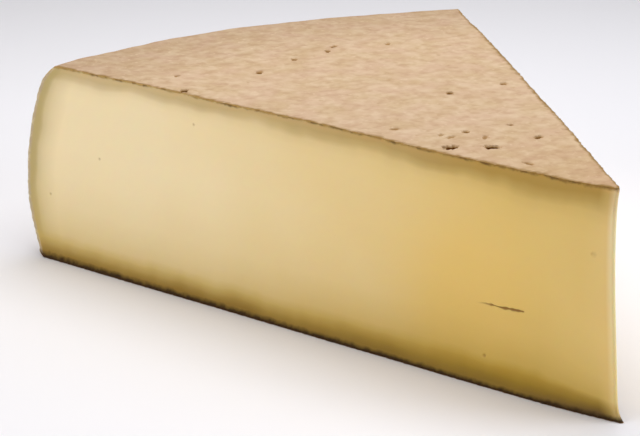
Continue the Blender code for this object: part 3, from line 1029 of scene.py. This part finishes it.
specked = add(
    rind, "Mix", {0: specks.outputs[0], 6: edged.outputs[2], 7: linear(CRUMB_HIGHLIGHT)}, data_type="RGBA"
)

# The pits, ochre down their sides and dark brown on their floors: partly their own stain and partly painted
# shade, darker the deeper the pit.
PIT_SIDE = "#98733F"
PIT_FLOOR = "#4E2600"
FULL_DARKENING = 0.7  # how dark a pit has to be to hide the skin's own colour
pit_brown = add(
    rind, "ValToRGB", {0: stain_and_shade}, stops=[(0.5, linear(PIT_SIDE)), (0.9, linear(PIT_FLOOR))]
)
pit_darkened = add(rind, "MapRange", {0: stain_and_shade, 1: 0.0, 2: FULL_DARKENING})
pitted = add(
    rind,
    "Mix",
    {0: pit_darkened.outputs[0], 6: specked.outputs[2], 7: pit_brown.outputs[0]},
    data_type="RGBA",
)
SAND_HEIGHT = 0.4
bump = add(rind, "Bump", {"Strength": 0.06, "Distance": SAND_HEIGHT * MM, "Height": sand.outputs[0]})
shader = rind.node_tree.nodes["Principled BSDF"]
shader.inputs["Roughness"].default_value = 0.85
shader.inputs["IOR"].default_value = 1.45
shader.inputs["Specular IOR Level"].default_value = 0.08  # dust scatters nearly all of the sheen
rind.node_tree.links.new(pitted.outputs[2], shader.inputs["Base Color"])
rind.node_tree.links.new(bump.outputs[0], shader.inputs["Normal"])

comte_mesh.materials.append(paste)
comte_mesh.materials.append(rind)
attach(comte, "root")
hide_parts("comte_wedge")

# ------------------------------------------------------------------------------------------------------
# The studio: a wide sheet of white paper under the wedge, and four soft boxes. Two hang close together
# overhead, one stands low at the left to light the left cut, and one lies low at the right for the nose.
FLOOR_RADIUS = 6.0  # metres
FLOOR_GAP = 0.2  # keeps the paper and the underside from sharing one plane
PAPER_WHITE = "#EDEBEE"
DAYLIGHT = "#FFFFFF"
COOL_DAYLIGHT = "#EEF3FF"
ROOM_LIGHT = "#F4F4FA"
ROOM_STRENGTH = 0.025

paper = bpy.data.materials.new("matte_white_paper")
paper.use_nodes = True
shader = paper.node_tree.nodes["Principled BSDF"]
shader.inputs["Base Color"].default_value = linear(PAPER_WHITE)
shader.inputs["Roughness"].default_value = 0.9
bpy.ops.mesh.primitive_circle_add(vertices=96, radius=FLOOR_RADIUS, fill_type="NGON")
floor = bpy.context.object
floor.name = "floor"
floor.location.z = -FLOOR_GAP * MM
floor.data.materials.append(paper)


def soft_box(name, place, aim, width, height, power, colour):
    """A soft box with its place, aim and size in metres and its power in watts."""
    lamp = bpy.data.lights.new(name, "AREA")
    lamp.shape = "RECTANGLE"
    lamp.size, lamp.size_y = width, height
    lamp.energy = power
    lamp.color = colour[:3]
    holder = bpy.data.objects.new(name, lamp)
    holder.location = place
    holder.rotation_euler = (Vector(aim) - Vector(place)).to_track_quat("-Z", "Y").to_euler()
    bpy.context.scene.collection.objects.link(holder)


soft_box("overhead", (0.05, -0.1, 0.85), (0, 0, 0), 0.9, 0.8, 4.9, linear(DAYLIGHT))
soft_box("back", (0.1, 0.4, 0.85), (0, 0, 0), 0.9, 0.8, 5.2, linear(DAYLIGHT))
soft_box("front_left", (-1.15, 0.0, 0.38), (0, 0, 0.05), 0.9, 0.5, 6.7, linear(DAYLIGHT))
soft_box("right", (0.92, -0.7, 0.32), (0, -0.1, 0), 0.7, 0.5, 8.8, linear(COOL_DAYLIGHT))

world = bpy.data.worlds.new("studio")
world.use_nodes = True
world.node_tree.nodes["Background"].inputs["Color"].default_value = linear(ROOM_LIGHT)
world.node_tree.nodes["Background"].inputs["Strength"].default_value = ROOM_STRENGTH
bpy.context.scene.world = world
bpy.context.scene.view_settings.view_transform = "Standard"

# The camera: a long lens a metre away, looking down on the left cut with the nose to the right.
CAMERA_FROM_APEX = Vector((-0.5643, -0.7328, 0.398))  # metres, from the ground under the apex
CAMERA_TILT = 71.444  # from straight down
CAMERA_TURN = -30.04
camera = bpy.data.objects.new("camera", bpy.data.cameras.new("camera"))
camera.data.lens = 135.0
camera.data.sensor_width = 36.0
camera.location = Vector((*APEX, 0)) * MM + CAMERA_FROM_APEX
camera.rotation_euler = (math.radians(CAMERA_TILT), 0, math.radians(CAMERA_TURN))
bpy.context.scene.collection.objects.link(camera)
bpy.context.scene.camera = camera
